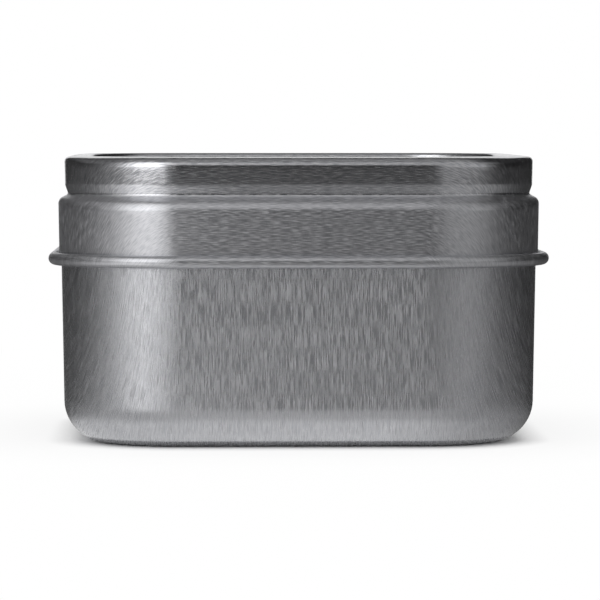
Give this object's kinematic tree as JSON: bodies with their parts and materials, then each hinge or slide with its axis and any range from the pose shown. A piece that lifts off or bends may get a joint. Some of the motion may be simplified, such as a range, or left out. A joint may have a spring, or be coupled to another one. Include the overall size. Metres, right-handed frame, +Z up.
{
  "type": "square tin",
  "caption": "Square metal tin with rounded corners, shut with a slip-on lid that has a raised rim, a groove, a shoulder and a curled edge.",
  "frame": {"origin": "middle of the base, on the plane that the tin stands on", "axes": "+Z up towards the lid; -Y towards the front side; the four flat sides face +X, -X, +Y and -Y"},
  "size_m": [0.0798, 0.0798, 0.0455],
  "materials": {
    "body_sheet": "bright tinplate, brushed from the base up the front and back",
    "lid_sheet": "bright tinplate, brushed from side to side across the lid"
  },
  "bodies": {
    "root": {"tin_body": "body_sheet", "lid": "lid_sheet"}
  },
  "joints": []
}
